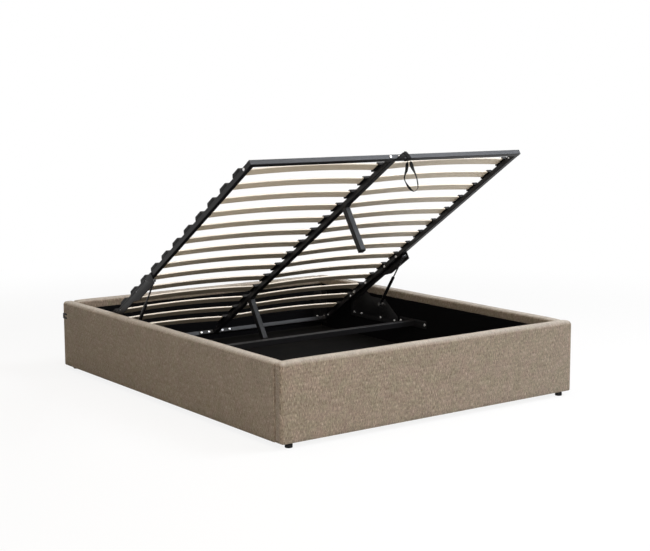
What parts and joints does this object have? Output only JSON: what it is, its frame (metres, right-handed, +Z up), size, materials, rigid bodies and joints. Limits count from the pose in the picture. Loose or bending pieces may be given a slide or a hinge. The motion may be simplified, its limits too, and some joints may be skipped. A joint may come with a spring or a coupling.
{
  "type": "ottoman storage bed",
  "caption": "Double storage bed with an upholstered box and a sprung slat lid that swings up at the head end on two gas struts.",
  "frame": {"origin": "on the floor under the middle of the bed", "axes": "+Z up, +Y to the head end, +X to the right seen from the foot end"},
  "size_m": [1.77, 2.13, 1.224],
  "materials": {
    "panel_core": "satin",
    "foam": "matte",
    "upholstery": "matte",
    "lining": "matte",
    "black_steel": "satin",
    "zinc": "satin",
    "black_plastic": "matte",
    "floor_board": "matte",
    "slat_wood": "satin",
    "strut_black": "satin",
    "rod_steel": "polished",
    "webbing": "matte"
  },
  "bodies": {
    "base": {"foot_panel_core": "panel_core", "foot_panel_foam": "foam", "foot_panel_cover": "upholstery", "foot_panel_lining": "lining", "head_panel_core": "panel_core", "head_panel_foam": "foam", "head_panel_cover": "upholstery", "head_panel_lining": "lining", "left_panel_core": "panel_core", "left_panel_foam": "foam", "left_panel_cover": "upholstery", "left_panel_lining": "lining", "right_panel_core": "panel_core", "right_panel_foam": "foam", "right_panel_cover": "upholstery", "right_panel_lining": "lining", "corner_angles_foot": "black_steel", "corner_angles_head": "black_steel", "corner_bolts": "zinc", "mechanism_bolts": "zinc", "feet": "black_plastic", "side_cleats": "panel_core", "floor_battens": "panel_core", "batten_feet": "black_plastic", "floor_board_foot": "floor_board", "floor_board_middle": "floor_board", "floor_board_head": "floor_board", "headboard_keepers": "black_steel", "cross_bar": "black_steel", "cross_bar_plates": "black_steel", "base_plate_left": "black_steel", "base_plate_right": "black_steel", "hinge_pins": "zinc", "hinge_nuts": "zinc", "lower_studs": "zinc"},
    "lid": {"lid_rail_left": "black_steel", "lid_rail_centre": "black_steel", "lid_rail_right": "black_steel", "lid_foot_bar": "black_steel", "lid_head_bar": "black_steel", "lid_angles": "black_steel", "lid_frame_bolts": "zinc", "lid_bracket_left": "black_steel", "lid_bracket_right": "black_steel", "bracket_bolts": "zinc", "upper_studs": "zinc", "slats_left": "slat_wood", "slats_right": "slat_wood", "slat_caps_left": "black_plastic", "slat_caps_centre": "black_plastic", "slat_caps_right": "black_plastic", "centre_legs": "black_steel", "leg_caps": "black_plastic", "strap_fold": "webbing"},
    "cylinder_left": {"strut_cylinder_left": "strut_black"},
    "cylinder_right": {"strut_cylinder_right": "strut_black"},
    "rod_left": {"strut_rod_left": "rod_steel"},
    "rod_right": {"strut_rod_right": "rod_steel"},
    "strap": {"strap_loop": "webbing"}
  },
  "joints": [
    {"name": "lid_hinge", "type": "hinge", "parent": "base", "child": "lid", "pos_m": [0, 0.615, 0.3315], "axis": [-1, 0, 0], "range_deg": [-33.1, 0], "stiffness_Nm_per_rad": 60, "springref_deg": 126.05},
    {"name": "strut_swing_left", "type": "hinge", "parent": "base", "child": "cylinder_left", "pos_m": [-0.8, 0.387, 0.284], "axis": [-1, 0, 0], "range_deg": [-50.7, 0]},
    {"name": "strut_slide_left", "type": "slide", "parent": "cylinder_left", "child": "rod_left", "axis": [0, -0.5774, 0.8165], "range_m": [-0.0884, 0]},
    {"name": "strut_swing_right", "type": "hinge", "parent": "base", "child": "cylinder_right", "pos_m": [0.8, 0.387, 0.284], "axis": [-1, 0, 0], "range_deg": [-50.7, 0]},
    {"name": "strut_slide_right", "type": "slide", "parent": "cylinder_right", "child": "rod_right", "axis": [0, -0.5774, 0.8165], "range_m": [-0.0884, 0]},
    {"name": "strap_swing", "type": "hinge", "parent": "lid", "child": "strap", "pos_m": [0.081, -0.73431, 1.19233], "axis": [1, 0, 0], "range_deg": [-20, 18]}
  ],
  "couplings": [
    {"joint": "strut_swing_left", "follows": "lid_hinge", "ratio": 1.5308},
    {"joint": "strut_slide_left", "follows": "lid_hinge", "m_per_rad": 0.15297},
    {"joint": "strut_swing_right", "follows": "lid_hinge", "ratio": 1.5308},
    {"joint": "strut_slide_right", "follows": "lid_hinge", "m_per_rad": 0.15297}
  ]
}
